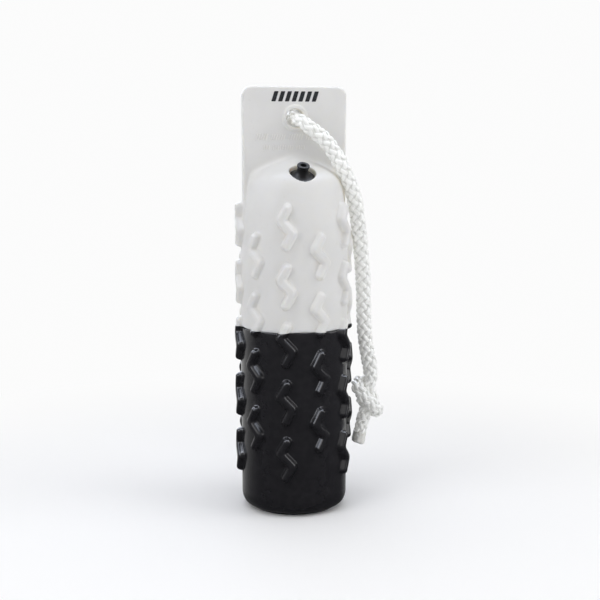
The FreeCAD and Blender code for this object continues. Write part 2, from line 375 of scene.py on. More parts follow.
# ---------------------------------------------------------------- zigzag bar outline
# half of the clockwise outline: across, up, corner radius, divisions to the next corner
HALF_BAR = [(-0.6, 16.6, 2.35, 2), (3.5, 14.0, 2.35, 5), (-0.9, 5.0, 2.1, 7), (7.5, -3.9, 4.2, 7)]
BAR = HALF_BAR + [(-x, -z, radius, steps) for x, z, radius, steps in HALF_BAR]
# profile of the bar's side: inset from the base outline, height
LEVELS = [
    (-1.65, 0.0), (-1.30, 0.10), (-1.00, 0.36), (-0.76, 0.82), (-0.54, 1.36), (-0.31, 1.90),
    (-0.04, 2.43), (0.29, 2.91), (0.66, 3.29), (1.05, 3.56), (1.45, 3.72), (1.85, TREAD_H),
]
ARC_STEPS = 6


def bar_loop(inset):
    P = [np.array(corner[:2], float) for corner in BAR]
    n = len(P)
    arcs = []
    for i, p in enumerate(P):
        radius = BAR[i][2]
        u = unit(P[i - 1] - p)
        w = unit(P[(i + 1) % n] - p)
        angle = math.acos(np.clip(u @ w, -1, 1))
        t = radius / math.tan(angle / 2)
        c = p + (u + w) / np.linalg.norm(u + w) * radius / math.sin(angle / 2)
        convex = (u[0] * w[1] - u[1] * w[0]) > 0
        arc_r = radius - inset if convex else radius + inset
        first, last = p + u * t - c, p + w * t - c
        a1 = math.atan2(first[1], first[0])
        a2 = math.atan2(last[1], last[0])
        sweep = (a2 - a1 + math.pi) % (2 * math.pi) - math.pi
        angles = [a1 + sweep * k / ARC_STEPS for k in range(ARC_STEPS + 1)]
        arcs.append([c + arc_r * np.array([math.cos(a), math.sin(a)]) for a in angles])
    out = []
    for i in range(n):
        out += arcs[i]
        start, end = arcs[i][-1], arcs[(i + 1) % n][0]
        steps = BAR[i][3]
        for k in range(1, steps):
            out.append(start + (end - start) * k / steps)
    return np.array(out)


BAR_LOOPS = [bar_loop(inset) for inset, _ in LEVELS]
BAR_BASE = bar_loop(0.0)


def bar_distance(q):
    """Signed distance to the bar's base outline, positive inside."""
    a = BAR_BASE
    b = np.roll(a, -1, axis=0)
    d = b - a
    squares = (d * d).sum(1)
    best = np.full(len(q), 1e9)
    crossings = np.zeros(len(q), int)
    for i in range(len(a)):
        v = q - a[i]
        t = np.clip((v @ d[i]) / squares[i], 0, 1)
        w = v - t[:, None] * d[i]
        best = np.minimum(best, (w * w).sum(1))
        y0, y1 = a[i, 1], b[i, 1]
        crosses = (y0 <= q[:, 1]) != (y1 <= q[:, 1])
        rise = y1 - y0 if y1 != y0 else 1
        x_cross = a[i, 0] + (q[:, 1] - y0) / rise * (b[i, 0] - a[i, 0])
        crossings += (crosses & (q[:, 0] < x_cross)).astype(int)
    best = np.sqrt(best)
    return np.where(crossings % 2 == 1, best, -best)


# ---------------------------------------------------------------- dome and tab
def solve_radius(theta, z):
    """Radius of the body-with-tab surface at an angle and height, by halving."""
    base = body_radius(z)
    low, high = base - 1.0, base + 5.0
    for _ in range(22):
        mid = (low + high) / 2
        f = body_tab_distance(polar(mid, theta, z))
        low = np.where(f < 0, mid, low)
        high = np.where(f < 0, high, mid)
    return (low + high) / 2


def top_points():
    step = 0.6
    half_x, half_y = 39.6, 37.2
    origin = np.array([-half_x, -half_y, CUT_Z - 1.4])
    spans = (2 * half_x, 2 * half_y, TOTAL_H + 1.2 - origin[2])
    axes = [o + step * np.arange(int(span / step) + 2) for o, span in zip(origin, spans)]
    field = top_distance(np.stack(np.meshgrid(*axes, indexing="ij"), -1))
    points, quads = surface_nets(field, origin, step)
    # pull the points onto the surface
    for _ in range(4):
        d = top_distance(points)
        g = top_gradient(points)
        move = np.clip(d / np.maximum((g * g).sum(1), 0.3), -0.4, 0.4)
        points = points - move[:, None] * g
    return points, quads


def build_top():
    """Dome and tab above CUT_Z, with the angles of the vertices along the cut."""
    points, quads = top_points()
    bm = bmesh.new()
    verts = [bm.verts.new(p) for p in points]
    for quad in quads:
        if (quad >= 0).all() and len(set(quad.tolist())) == 4:
            try:
                bm.faces.new([verts[i] for i in quad])
            except ValueError:
                # bmesh refuses a second face on the same four vertices
                pass
    bmesh.ops.bisect_plane(bm, geom=bm.verts[:] + bm.edges[:] + bm.faces[:], dist=1e-4,
                           plane_co=(0, 0, CUT_Z), plane_no=(0, 0, 1), clear_inner=True)
    near_cut = 0.16
    bmesh.ops.remove_doubles(bm, verts=[v for v in bm.verts if abs(v.co.z - CUT_Z) < near_cut],
                             dist=near_cut)
    loose = [v for v in bm.verts if not v.link_faces]
    bmesh.ops.delete(bm, geom=loose, context="VERTS")
    rim = [v for v in bm.verts if v.is_boundary]
    theta = np.array([angle_of(v.co) for v in rim])
    # the column borders fall exactly on rim vertices
    for k in range(COLS):
        border = math.radians(COL0 + COL_STEP * k + COL_HALF)
        off = np.abs((theta - border + math.pi) % (2 * math.pi) - math.pi)
        theta[int(np.argmin(off))] = math.atan2(math.sin(border), math.cos(border))
    radius = solve_radius(theta, np.full(len(theta), CUT_Z))
    for v, t, r in zip(rim, theta, radius):
        v.co = polar(r, t, CUT_Z)
    bm.verts.index_update()
    verts = np.array([v.co[:] for v in bm.verts])
    faces = [[v.index for v in f.verts] for f in bm.faces]
    bm.free()
    return verts, faces, np.sort(theta)


top_verts, top_faces, rim_theta = build_top()

# ---------------------------------------------------------------- barrel: columns of bars
ROW_STEP = 2.05
SEAM_ROWS = [133.1, 133.5, 133.8, COAT_TOP, 134.4]   # extra rows at the coat's upper edge
HALF_WIDTH = math.radians(COL_HALF) * FLAT_R
ROUND_STEPS = 24                                     # divisions of a column's lower edge


def filling_points(mid, bar_heights):
    """Points (across, up) spread over the column, clear of its seam rows and bars."""
    across = np.linspace(-HALF_WIDTH, HALF_WIDTH, 13)[1:-1]
    points = []
    z = Z_LOW + ROW_STEP
    row = 0
    while z < CUT_Z - 1.2:
        for u in across + (0.45 if row % 2 else -0.45):
            points.append((u, z))
        z += ROW_STEP
        row += 1
    # denser where the tab's sides run into the body
    for tab_side in (90.0, 270.0):
        turn = half_turn(tab_side - mid)
        if abs(turn) < COL_HALF - 0.1:
            centre = math.radians(turn) * FLAT_R
            for z in np.arange(195.0, CUT_Z - 0.6, 0.9):
                for u in centre + np.arange(-4.8, 4.81, 0.6):
                    if abs(u) < HALF_WIDTH - 0.4:
                        points.append((u, z))
    points = np.array(points)
    keep = np.abs(points[:, 1] - 133.7) > 1.3
    for bar_z in bar_heights:
        d = bar_distance(points - np.array([0, bar_z]))
        keep &= (d < -2.45) | (d > 2.25)
    return points[keep].tolist()


def strip_mesh(mid, bar_heights):
    """Flat triangulated column as (across, up) points and triangles."""
    below_seam = np.arange(Z_LOW, 133.0, ROW_STEP)
    above_seam = np.arange(136.0, CUT_Z - 1.0, ROW_STEP)
    levels = np.concatenate([below_seam, SEAM_ROWS, above_seam, [CUT_Z]])
    levels = np.unique(np.round(levels, 4)).tolist()
    points, edges = [], []

    def add_all(new):
        points.extend(new)
        return list(range(len(points) - len(new), len(points)))

    def chain(numbers):
        edges.extend(zip(numbers[:-1], numbers[1:]))

    left = add_all([(-HALF_WIDTH, z) for z in levels])
    right = add_all([(HALF_WIDTH, z) for z in levels])
    chain(left)
    chain(right)
    bottom = [(-HALF_WIDTH + 2 * HALF_WIDTH * i / ROUND_STEPS, Z_LOW)
              for i in range(1, ROUND_STEPS)]
    chain([left[0]] + add_all(bottom) + [right[0]])
    turns = half_turn(np.degrees(rim_theta) - mid)
    inner = np.sort(turns[np.abs(turns) < COL_HALF - 0.005])
    top = [(math.radians(a) * FLAT_R, CUT_Z) for a in inner]
    chain([left[-1]] + add_all(top) + [right[-1]])
    for z in SEAM_ROWS:
        i = levels.index(z)
        edges.append((left[i], right[i]))
    for bar_z in bar_heights:
        for loop in BAR_LOOPS:
            numbers = add_all([(p[0], p[1] + bar_z) for p in loop])
            chain(numbers + numbers[:1])
    add_all(filling_points(mid, bar_heights))
    result = delaunay_2d_cdt([Vector(p) for p in points], edges, [], 0, 1e-4)
    return np.array([p[:] for p in result[0]]), np.array(result[2])


def build_strip(k):
    """One column as (angle, z, radius) points and triangles."""
    mid = COL0 + COL_STEP * k
    bar_heights = TREAD_Z[k % 2]
    flat, triangles = strip_mesh(mid, bar_heights)
    z = flat[:, 1]
    height = np.zeros(len(flat))
    for bar_z in bar_heights:
        near = np.abs(z - bar_z) < 19
        d = bar_distance(flat[near] - np.array([0, bar_z]))
        height[near] = np.maximum(height[near], np.interp(d, *np.transpose(LEVELS)))
    theta = math.radians(mid) + flat[:, 0] / FLAT_R
    wall = body_radius(z)
    # bars stand a little higher on the coated part, and higher again where the dome draws in
    height = height * (1.15 - 0.07 * ease((z - 128.0) / 8.0))
    height = height * (1 + 0.85 * np.clip(R_HIGH - wall, 0, 4) / TREAD_H * (z > Z_HIGH))
    r = wall.copy()
    from_tab_side = np.abs(np.degrees(theta) % 180 - 90)
    near = (z > 190) & (from_tab_side < 12)
    r[near] = solve_radius(theta[near], z[near])
    r = r + height * (1 - ease((r - wall - 0.2) / 4.0))
    return np.stack([theta, z, r], 1), triangles


# waviness of the coat's edge: height, waves round the body, phase
SEAM_WAVES = [(0.16, 3, 0.7), (0.12, 7, 2.1), (0.07, 17, 0.4), (0.05, 31, 0.0)]


def build_barrel():
    """(vertices, faces) of the white wall above the seam and of the black wall below it."""
    points, triangles = join([build_strip(k) for k in range(COLS)])
    theta, z, r = points.T
    triangles = np.array(triangles)
    middle = z[triangles].mean(1)
    wave = sum(high * np.sin(n * theta + phase) for high, n, phase in SEAM_WAVES)
    wavy_z = z + wave * np.exp(-((z - COAT_TOP) / 3.5) ** 2)
    coat_r = r + COAT_THICK * ease((COAT_TOP - z) / 0.85)
    white = compact(polar(r, theta, wavy_z), triangles[middle > COAT_TOP])
    black = compact(polar(coat_r, theta, wavy_z), triangles[middle <= COAT_TOP])
    return white[:2], black[:2]


def build_lower_edge():
    """Rounded lower edge of the coat, then a small step and the flat foot."""
    coat_r, end_r, end_z = R_LOW + COAT_THICK, 31.7, 1.9
    profile = [(coat_r, Z_LOW)]
    for i in range(1, 13):
        a = math.pi / 2 * i / 12
        profile.append((end_r + (coat_r - end_r) * math.cos(a) ** 0.9,
                        Z_LOW - (Z_LOW - end_z) * math.sin(a)))
    profile += [(31.35, 1.83), (31.1, 1.7), (30.98, 1.45), (30.9, 0.9), (30.75, 0.45),
                (30.4, 0.14), (29.8, 0.0), (27.0, 0.0), (20.0, 0.0), (11.0, 0.0), (4.0, 0.0)]
    n = ROUND_STEPS * COLS
    theta = np.radians(COL0 - COL_HALF + COL_STEP * np.arange(COLS)[:, None]
                       + COL_STEP * np.arange(ROUND_STEPS)[None, :] / ROUND_STEPS).ravel()
    verts = np.vstack([polar(r, theta, z) for r, z in profile] + [np.zeros((1, 3))])
    rows = index_rows(len(profile), n)
    last, centre = rows[-1], len(verts) - 1
    fan = [[last[i], centre, last[(i + 1) % n]] for i in range(n)]
    return verts, bands(rows, flip=True) + fan


def seam_loop(verts, faces):
    """The open edge at the seam as a list of vertices ordered by angle."""
    uses = {}
    for face in faces:
        for i in range(len(face)):
            a, b = face[i], face[(i + 1) % len(face)]
            edge = (min(a, b), max(a, b))
            uses[edge] = uses.get(edge, 0) + 1
    loop = {i for edge, n in uses.items() if n == 1 for i in edge
            if abs(verts[i][2] - COAT_TOP) < 1.0}
    return sorted(loop, key=lambda i: angle_of(verts[i]))


def close_inside(verts, faces, profile):
    """Closes a piece from its seam with a plain hidden wall of revolution."""
    ring = seam_loop(verts, faces)
    theta = np.array([angle_of(verts[i]) for i in ring])
    n = len(ring)
    rows = [ring] + index_rows(len(profile), n, len(verts))
    tip = len(verts) + len(profile) * n
    fan = [[rows[-1][i], rows[-1][(i + 1) % n], tip] for i in range(n)]
    wall = [polar(r, theta, z) for r, z in profile]
    verts = np.vstack([verts] + wall + [np.array([[0, 0, profile[-1][1]]])])
    return verts, faces + bands(rows) + fan


white_wall, black_wall = build_barrel()
white_shell = join([white_wall, (top_verts, top_faces)])
black_shell = join([black_wall, build_lower_edge()])

# ---------------------------------------------------------------- rope path
# points where the hanging rope's links join, from the hole down to the end knot
JOINTS = [np.array(p, float) for p in [
    (0, -10.8, HOLE_Z), (17.6, -13.2, 268.8), (31.2, -13.4, 250.4), (41.4, -9.9, 229.8),
    (47.7, -4.6, 208.1), (50.8, -0.6, 185.8), (52.2, 1.2, 163.0), (53.4, 1.7, 140.3),
    (55.5, 2.1, 117.4), (59.6, 3.0, 95.5),
]]
# how far the rope runs beside each joint after the first: to camera right, toward the camera
DRAPE = [(0, 0), (-0.25, 0.3), (-0.3, 1.0), (-1.0, 1.6), (-0.4, 0.7), (0.5, 0.2), (0.25, 0),
         (0, 0), (0, 0)]
TAIL_TOP, TAIL_END = np.array([54.6, 4.2, 60.0]), np.array([50.6, 4.4, 41.0])
KNOT_CENTRE = np.array([57.4, 4.0, 75.9])
# centreline of a tight overhand knot: two directions across it, then along the cord
KNOT = np.array([
    [1.37, 0.06, -15.55], [1.36, 0.08, -11.63], [1.17, -0.2, -7.75], [0.29, -1.68, -4.27],
    [-1.8, -3.78, -1.78], [-4.62, -4.04, 0.85], [-6.78, -2.57, 3.71], [-7.53, 0.07, 6.46],
    [-6.64, 3.19, 8.56], [-4.32, 6.13, 9.6], [-0.94, 8.02, 9.53], [2.75, 8.46, 8.42],
    [5.92, 7.4, 6.46], [7.87, 5.08, 4.03], [8.38, 2.07, 1.61], [8.39, -1.07, -0.74],
    [8.12, -4.15, -3.11], [6.69, -6.78, -5.59], [3.87, -8.29, -7.77], [0.27, -8.34, -9.23],
    [-3.31, -6.91, -9.67], [-6.03, -4.22, -9.03], [-7.43, -1.07, -7.26], [-7.23, 1.82, -4.68],
    [-5.48, 3.76, -1.82], [-2.76, 4.14, 0.92], [-0.21, 2.55, 3.34], [0.97, 0.56, 6.45],
    [1.34, -0.06, 10.27], [1.37, -0.1, 14.18],
])
KNOT[:, 0] -= 0.2                   # centres the knot sideways
TO_CAMERA = np.array([math.sin(CAMERA_AZIMUTH), -math.cos(CAMERA_AZIMUTH), 0.0])
RIGHT = np.array([math.cos(CAMERA_AZIMUTH), math.sin(CAMERA_AZIMUTH), 0.0])
UP = np.array([0.0, 0.0, 1.0])


def rope_points():
    """Points along the rope from its back end to its tail."""
    points = [(0.3, 52.0, 282.4), (0.2, 47.5, 282.6)]
    # stopper knot lying along y behind the tab
    knot = KNOT * np.array([0.92, 0.92, 1.0])
    knot = knot - np.array([1.1, 0.0, 0.0]) * np.clip(np.abs(knot[:, 2:3]) / 12.0, 0, 1)
    points += [(q[0], 26.65 - q[2], HOLE_Z + q[1]) for q in knot[1:-1]]
    # through the hole and over its edge: y, x, z from the hole's centre
    for y, x, dz in ((9.5, 0.0, 0.0), (4.5, 0.6, -0.45), (0.0, 1.2, -0.85), (-4.2, 1.9, -1.2)):
        points.append((x, y, HOLE_Z + dz))
    points += [(3.0, -8.2, 280.9), (5.9, -11.2, 278.3), (10.8, -12.7, 274.3)]
    for joint, (right, near) in zip(JOINTS[1:], DRAPE):
        points.append(joint + RIGHT * right + TO_CAMERA * near)
    # end knot hanging upright, its two cord ends spread sideways
    knot = KNOT[::-1] * np.array([0.98, 0.86, 1.12])
    spread = 2.0 * ease((np.abs(knot[:, 2]) - 4.0) / 9.0) * np.sign(knot[:, 2])
    spread = spread * (np.abs(knot[:, 1]) < 3.4)
    for q, s in list(zip(knot, spread))[1:-1]:
        points.append(KNOT_CENTRE + TO_CAMERA * q[0] + RIGHT * (-q[1] + s) + UP * q[2])
    points += [TAIL_TOP, (TAIL_TOP + TAIL_END) / 2 + np.array([-0.3, 0, 0.2]),
               TAIL_END + np.array([0.1, 0, 1.9])]
    return np.array(points, float)


RING_STEP = 0.7                     # rope length from one ring of vertices to the next


def rope_frame():
    """Distance along the rope, its centreline, and tangent and two untwisted normals."""
    points = rope_points()
    line = spline(points, points[1] - points[0], points[-1] - points[-2], 10)
    steps = np.linalg.norm(np.diff(line, axis=0), axis=1)
    line_s = np.concatenate([[0], np.cumsum(steps)])
    s = np.linspace(0, line_s[-1], int(line_s[-1] / RING_STEP) + 1)
    c = np.stack([np.interp(s, line_s, line[:, k]) for k in range(3)], 1)
    for _ in range(2):
        c[1:-1] = 0.25 * c[:-2] + 0.5 * c[1:-1] + 0.25 * c[2:]
    t = unit_rows(np.gradient(c, s, axis=0))
    n = np.zeros_like(c)
    carried = np.array([1.0, 0, 0])
    for i in range(len(s)):
        carried = unit(carried - t[i] * (carried @ t[i]))
        n[i] = carried
    return s, c, t, n, np.cross(t, n)


along, centre, tangent, normal, binormal = rope_frame()
N_RING = len(along)


def along_near(p, low=0.0, high=1e9):
    """Distance along the rope, within limits, of its nearest point to p."""
    d = np.linalg.norm(centre - p, axis=1)
    d[(along < low) | (along > high)] = 1e9
    return float(along[int(np.argmin(d))])


joint_s = [along_near(JOINTS[0])]
for joint in JOINTS[1:]:
    joint_s.append(along_near(joint, joint_s[-1] + 5, joint_s[-1] + 60))
neck_s = along_near(np.array([0, 1.5, HOLE_Z]), 0, joint_s[0])
knot_start = joint_s[9] + 3.0
knot_end = along_near(TAIL_TOP + np.array([0.6, 0, 3.6]), joint_s[9] + 40)
stopper_start = along_near(np.array([0, 41.0, HOLE_Z]), 0, 25)
stopper_end = along_near(np.array([0, 12.0, HOLE_Z]), 40, neck_s)


def rise(start, length):
    return ease((along - start) / length)


def fall(end, length):
    return ease((end - along) / length)


def rope_gauge():
    """Thickness of the cord along its length, as a factor."""
    # squeezed inside both knots, thinner in the tail and where it passes through the hole
    in_knot = np.maximum(rise(stopper_start - 6, 9) * fall(stopper_end + 6, 9),
                         rise(knot_start - 4, 9) * fall(knot_end + 5, 8))
    in_hole = rise(stopper_end - 2, 8) * fall(joint_s[1] + 4, 24)
    uneven = 0.035 * np.sin(along * 0.21 + 1.0) + 0.02 * np.sin(along * 0.53)
    gauge = (1.0 - 0.125 * in_knot) * (1.0 - 0.11 * rise(knot_end, 8))
    return gauge * (1 + 0.6 * uneven) * (1 - 0.15 * in_hole)


gauge = rope_gauge()

# ---------------------------------------------------------------- braid
BRAID_PITCH = 40.0                  # rope length of one turn of a strand
N_STRANDS = 10                      # half wind one way, half the other
CELL = BRAID_PITCH / N_STRANDS      # length from one crossing to the next
SECTION = 12                        # sides of a strand and of the core
STRAND_W, STRAND_T = 3.25, 2.55     # width and thickness of a strand
WEAVE_R, WEAVE_AMP = 3.72, 0.90     # mean radius of a strand's path, and its swing
CORE_R = 3.85


def tube_points(middle, side, up, half_width, half_height):
    ring = []
    for q in range(SECTION):
        a = 2 * np.pi * q / SECTION
        ring.append(middle + side * (half_width * math.cos(a))[:, None]
                    + up * (half_height * math.sin(a))[:, None])
    return np.stack(ring, 1).reshape(-1, 3)


def strand_points(i, jitter):
    way = 1 if i < N_STRANDS // 2 else -1
    per_way = N_STRANDS // 2
    theta = (way * 2 * np.pi * along / BRAID_PITCH + 2 * np.pi * (i % per_way) / per_way
             + 0.035 * np.sin(along * 0.19 + jitter[0] * 3))
    wave = np.cos(np.pi * along / CELL)
    wave = np.sign(wave) * np.abs(wave) ** 0.75
    # the weave flattens and draws in toward the rope's ends
    end_fade = np.minimum(rise(0.0, 5.0), fall(along[-1], 6.0))
    radius = (WEAVE_R + way * WEAVE_AMP * wave * (0.35 + 0.65 * end_fade)
              + 0.07 * np.sin(along * 0.33 + jitter[1] * 3)) * gauge
    radius = radius - 0.5 * (1 - end_fade)
    outward = np.cos(theta)[:, None] * normal + np.sin(theta)[:, None] * binormal
    path = centre + outward * radius[:, None]
    t = unit_rows(np.gradient(path, axis=0))
    side = unit_rows(np.cross(outward, t))
    # plump where it floats on top, pinched where it dives under
    top = 0.5 + 0.5 * way * wave
    uneven = 1 + 0.05 * np.sin(along * 0.41 + jitter[2] * 3)
    width = STRAND_W * (0.90 + 0.10 * top) * gauge * uneven
    height = STRAND_T * (0.80 + 0.20 * top) * gauge
    return tube_points(path, side, np.cross(t, side), width / 2, height / 2)


def build_rope():
    """Vertices, quads, corner UVs and the ring number of each quad, strands then core."""
    rng = np.random.default_rng(7)
    tubes = [strand_points(i, rng.normal(0, 1, 4)) for i in range(N_STRANDS)]
    # the core keeps gaps between strands from showing through
    tubes.append(tube_points(centre, normal, binormal, CORE_R * gauge, CORE_R * gauge))
    u_starts = list(range(N_STRANDS)) + [20]
    ring, q = np.divmod(np.arange((N_RING - 1) * SECTION), SECTION)
    s0, s1 = along[ring], along[ring + 1]
    faces, uvs = [], []
    for tube, u_start in enumerate(u_starts):
        faces += bands(index_rows(N_RING, SECTION, tube * N_RING * SECTION))
        u0, u1 = q / SECTION + u_start, (q + 1) / SECTION + u_start
        uvs.append(np.stack([u0, s0, u1, s0, u1, s1, u0, s1], 1).reshape(-1, 4, 2))
    return np.vstack(tubes), np.array(faces), np.vstack(uvs), np.tile(ring, len(tubes))


def vertex_normals(verts, quads):
    a = verts[quads[:, 2]] - verts[quads[:, 0]]
    b = verts[quads[:, 3]] - verts[quads[:, 1]]
    face_normals = np.cross(a, b)
    out = np.zeros_like(verts)
    for k in range(4):
        np.add.at(out, quads[:, k], face_normals)
    return out / np.maximum(np.linalg.norm(out, axis=1), 1e-12)[:, None]


rope_verts, rope_faces, rope_uv, rope_ring = build_rope()
rope_normals = vertex_normals(rope_verts, rope_faces)


# ---------------------------------------------------------------- shader node helpers
def feed(node, sockets):
    """Gives each input a value, or a link if the value is another node's output."""
    for key, value in sockets.items():
        socket = node.inputs[key]
        if isinstance(value, bpy.types.NodeSocket):
            node.id_data.links.new(value, socket)
        elif value is not None:
            is_rgb = socket.type == "RGBA" and len(value) == 3
            socket.default_value = (*value, 1) if is_rgb else value


def add_node(tree, kind, sockets=None, **settings):
    node = tree.nodes.new("ShaderNode" + kind)
    for key, value in settings.items():
        setattr(node, key, value)
    feed(node, sockets or {})
    return node


def material(name, colour, roughness, specular):
    """Principled material; colour and roughness lie beneath any texture linked later."""
    mat = bpy.data.materials.new(name)
    mat.use_nodes = True
    tree = mat.node_tree
    tree.nodes.clear()
    output = add_node(tree, "OutputMaterial")
    shader = add_node(tree, "BsdfPrincipled", {
        "Base Color": colour, "Roughness": roughness, "Specular IOR Level": specular})
    feed(output, {0: shader.outputs[0]})
    return mat, tree, shader


def coords(tree):
    return add_node(tree, "TexCoord").outputs["Object"]


def noise(tree, where, scale, detail=3.0, rough=0.5):
    return add_node(tree, "TexNoise", {
        "Vector": where, "Scale": scale, "Detail": detail, "Roughness": rough}).outputs["Fac"]


def remap(tree, value, span, to=(0.0, 1.0)):
    sockets = {0: value, 1: span[0], 2: span[1], 3: to[0], 4: to[1]}
    return add_node(tree, "MapRange", sockets).outputs[0]


def mix_color(tree, factor, low, high, blend="MIX"):
    """low where the factor is 0, high where it is 1."""
    return add_node(tree, "Mix", {0: factor, 6: low, 7: high},
                    data_type="RGBA", blend_type=blend).outputs[2]


def compute(tree, operation, *values):
    return add_node(tree, "Math", dict(enumerate(values)), operation=operation).outputs[0]


def bump(tree, height, strength, dist, under=None):
    """Surface relief; dist is in metres and `under` is the relief it lies on."""
    return add_node(tree, "Bump", {
        "Strength": strength, "Distance": dist, "Height": height, "Normal": under}).outputs[0]


def openness(tree, distance):
    """0 in hollows, 1 in the open; distance in metres."""
    node = add_node(tree, "AmbientOcclusion", {"Distance": distance}, samples=6)
    return node.outputs["AO"]


def subsurface(shader, weight, radius, scale):
    feed(shader, {"Subsurface Weight": weight, "Subsurface Radius": radius,
                  "Subsurface Scale": scale})


# ---------------------------------------------------------------- materials
def white_vinyl():
    mat, tree, shader = material("white_vinyl", (0.79, 0.785, 0.765), 0.5, 0.4)
    where = coords(tree)
    big = noise(tree, where, scale=38.0)
    fine = noise(tree, where, scale=900.0, rough=0.6)
    speck = noise(tree, where, scale=240.0, detail=5.0, rough=0.65)
    colour = mix_color(tree, remap(tree, big, span=(0.35, 0.7)),
                       low=(0.715, 0.712, 0.700), high=(0.685, 0.681, 0.668))
    colour = mix_color(tree, remap(tree, speck, span=(0.60, 0.78)),
                       low=colour, high=(0.955, 0.95, 0.935), blend="MULTIPLY")
    feed(shader, {"Roughness": remap(tree, speck, span=(0.3, 0.7), to=(0.44, 0.58))})
    subsurface(shader, weight=0.35, radius=(1.0, 0.92, 0.72), scale=0.0035)
    # painted shade: the hollows are tinted warm beige, standing in for light that has travelled
    # through the vinyl
    is_open = remap(tree, openness(tree, distance=0.007), span=(0.30, 0.85))
    colour = mix_color(tree, is_open, low=(0.82, 0.785, 0.69), high=colour)
    relief = bump(tree, big, strength=0.10, dist=0.0008)
    relief = bump(tree, fine, strength=0.16, dist=0.00006, under=relief)
    feed(shader, {"Base Color": colour, "Normal": relief})
    return mat


def black_vinyl():
    mat, tree, shader = material("black_vinyl", (0.010, 0.010, 0.0115), 0.2, 0.42)
    where = coords(tree)
    big = noise(tree, where, scale=30.0)
    mid = noise(tree, where, scale=190.0, detail=4.0, rough=0.6)
    fine = noise(tree, where, scale=1100.0, detail=2.0)
    colour = mix_color(tree, remap(tree, mid, span=(0.4, 0.75)),
                       low=(0.0118, 0.0116, 0.0132), high=(0.0165, 0.0160, 0.0178))
    rough = remap(tree, mid, span=(0.3, 0.75), to=(0.13, 0.20))
    relief = bump(tree, big, strength=0.15, dist=0.0006)
    relief = bump(tree, mid, strength=0.07, dist=0.00008, under=relief)
    relief = bump(tree, fine, strength=0.08, dist=0.00003, under=relief)
    feed(shader, {"Base Color": colour, "Roughness": rough, "Normal": relief})
    return mat


def valve_rubber():
    mat, tree, shader = material("valve_rubber", (0.011, 0.011, 0.012), 0.4, 0.28)
    where = coords(tree)
    mid = noise(tree, where, scale=420.0, detail=4.0, rough=0.6)
    fine = noise(tree, where, scale=1800.0, detail=2.0)
    colour = mix_color(tree, remap(tree, mid, span=(0.4, 0.7)),
                       low=(0.0055, 0.0055, 0.0062), high=(0.011, 0.011, 0.012))
    rough = remap(tree, mid, span=(0.3, 0.7), to=(0.34, 0.46))
    relief = bump(tree, mid, strength=0.15, dist=0.0001)
    relief = bump(tree, fine, strength=0.12, dist=0.00003, under=relief)
    feed(shader, {"Base Color": colour, "Roughness": rough, "Normal": relief})
    return mat


def print_ink():
    mat, tree, shader = material("print_ink", (0.012, 0.013, 0.016), 0.38, 0.5)
    mid = noise(tree, coords(tree), scale=700.0, detail=4.0, rough=0.7)
    colour = mix_color(tree, remap(tree, mid, span=(0.45, 0.75)),
                       low=(0.010, 0.011, 0.013), high=(0.032, 0.033, 0.037))
    rough = remap(tree, mid, span=(0.3, 0.7), to=(0.30, 0.5))
    relief = bump(tree, mid, strength=0.2, dist=0.00003)
    feed(shader, {"Base Color": colour, "Roughness": rough, "Normal": relief})
    return mat


def filaments(tree):
    """Relief of the filaments in a strand, and the fine hair noise within it."""
    per_strand = 16.0
    uv = add_node(tree, "UVMap", uv_map="braid").outputs[0]
    split = add_node(tree, "SeparateXYZ", {0: uv})
    u, v = split.outputs[0], split.outputs[1]
    # u plus a share of v gives the filaments a slight twist along the strand
    twisted = compute(tree, "MULTIPLY_ADD", v, 0.012, u)
    slow = add_node(tree, "CombineXYZ", {0: twisted, 1: compute(tree, "MULTIPLY", v, 0.010)})
    wobble = noise(tree, slow.outputs[0], scale=9.0, detail=2.0)
    phase = compute(tree, "MULTIPLY_ADD", twisted, per_strand * 2 * math.pi,
                    compute(tree, "MULTIPLY", wobble, 7.0))
    ridges = compute(tree, "SINE", phase)
    fast = add_node(tree, "CombineXYZ", {0: compute(tree, "MULTIPLY", twisted, 30.0),
                                         1: compute(tree, "MULTIPLY", v, 0.22)})
    hair = noise(tree, fast.outputs[0], scale=2.2, detail=4.0, rough=0.65)
    height = compute(tree, "MULTIPLY_ADD", ridges, 0.30, compute(tree, "MULTIPLY", hair, 1.3))
    return height, hair


def rope_cord():
    mat, tree, shader = material("rope_cord", (0.82, 0.825, 0.82), 0.36, 0.7)
    height, hair = filaments(tree)
    dirt = noise(tree, coords(tree), scale=60.0, detail=4.0, rough=0.6)
    colour = mix_color(tree, remap(tree, hair, span=(0.3, 0.7)),
                       low=(0.79, 0.797, 0.78), high=(0.85, 0.856, 0.845))
    colour = mix_color(tree, remap(tree, dirt, span=(0.52, 0.75)),
                       low=colour, high=(0.97, 0.965, 0.945), blend="MULTIPLY")
    # painted shade: the hollows between strands are darkened
    is_open = remap(tree, openness(tree, distance=0.0022), span=(0.35, 0.92))
    colour = mix_color(tree, is_open, low=(0.635, 0.64, 0.62), high=colour)
    subsurface(shader, weight=0.08, radius=(1.0, 0.98, 0.9), scale=0.0012)
    feed(shader, {
        "Base Color": colour,
        "Roughness": remap(tree, hair, span=(0.3, 0.7), to=(0.20, 0.34)),
        "Sheen Weight": 0.15,
        "Sheen Roughness": 0.4,
        # painted light: a faint warm glow stands in for light passed on from strand to strand and
        # keeps the hollows warm grey
        "Emission Color": (1.0, 0.985, 0.93),
        "Emission Strength": 0.11,
        "Normal": bump(tree, height, strength=0.40, dist=0.00010),
    })
    return mat


